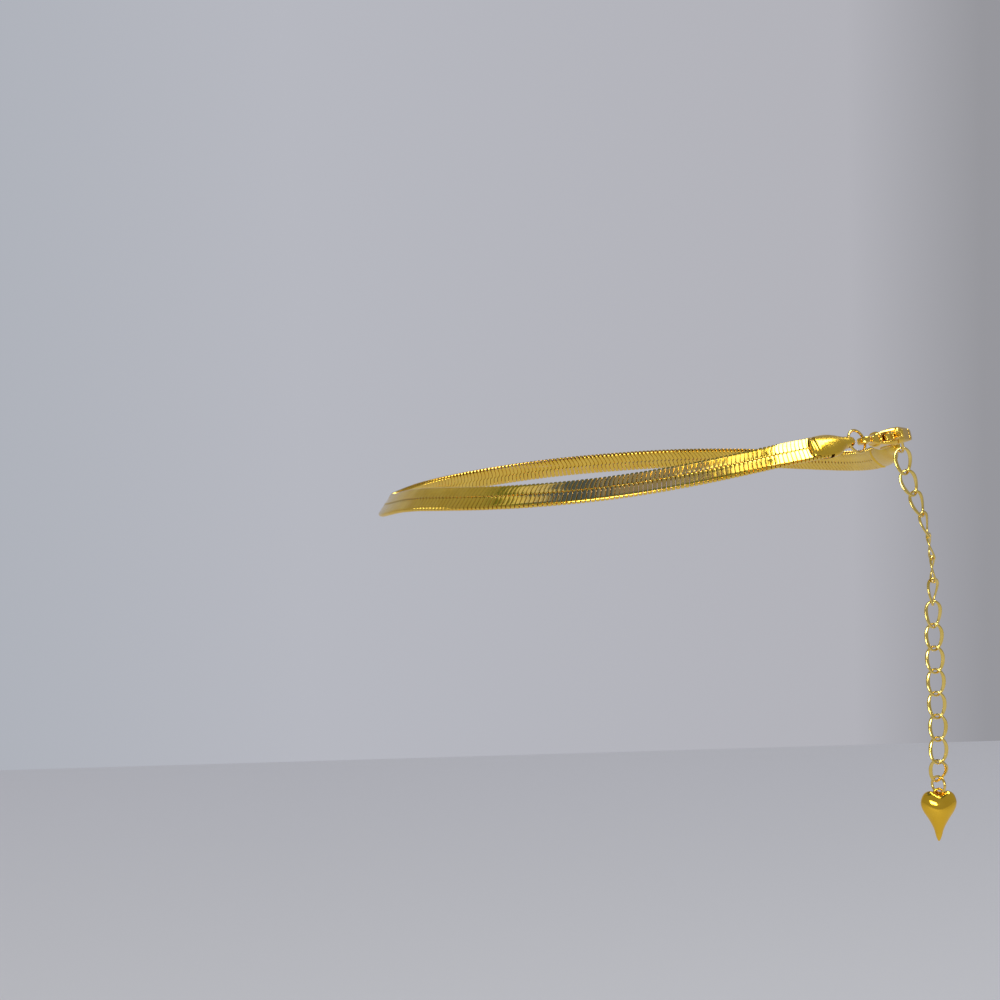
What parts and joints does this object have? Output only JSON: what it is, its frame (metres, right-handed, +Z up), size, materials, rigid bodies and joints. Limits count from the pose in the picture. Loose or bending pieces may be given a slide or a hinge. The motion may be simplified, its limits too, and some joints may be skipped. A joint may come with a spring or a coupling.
{
  "type": "herringbone chain anklet with extender and heart drop",
  "caption": "Flat herringbone chain anklet, closed with a lobster clasp, with a curb extender and a puffed heart drop.",
  "frame": {"origin": "middle of the ankle opening, at the height of the loop's middle, where the anklet sits on an ankle", "axes": "+Z up the leg, +X to the heel, where the clasp and the extender are, -Y to the side with the near cap"},
  "size_m": [0.0897, 0.0562, 0.0666],
  "materials": {
    "band_gold": "bright, gold plated",
    "cap_gold": "satin, gold plated",
    "ring_gold": "polished, gold plated",
    "clasp_gold": "polished, gold plated",
    "extender_gold": "polished, gold plated",
    "heart_gold": "polished, gold plated"
  },
  "bodies": {
    "anklet": {"herringbone_band": "band_gold", "near_end_cap": "cap_gold", "far_end_cap": "cap_gold", "near_jump_ring": "ring_gold", "far_jump_ring": "ring_gold", "clasp_body": "clasp_gold", "extender_link_01": "extender_gold", "extender_link_02": "extender_gold", "extender_link_03": "extender_gold", "extender_link_04": "extender_gold", "extender_link_05": "extender_gold", "extender_link_06": "extender_gold", "extender_link_07": "extender_gold", "extender_link_08": "extender_gold", "extender_link_09": "extender_gold", "extender_link_10": "extender_gold", "extender_link_11": "extender_gold", "extender_link_12": "extender_gold", "extender_link_13": "extender_gold", "extender_link_14": "extender_gold", "extender_link_15": "extender_gold", "drop_ring": "ring_gold", "heart_drop": "heart_gold"},
    "clasp_lever": {"clasp_lever": "clasp_gold"}
  },
  "joints": [
    {"name": "clasp_lever_hinge", "type": "hinge", "parent": "anklet", "child": "clasp_lever", "pos_m": [0.03563, -0.01295, 0.00383], "axis": [-0.178, 0.212, 0.9609], "range_deg": [0, 26], "stiffness_Nm_per_rad": 0.0001, "springref_deg": -34.38}
  ]
}
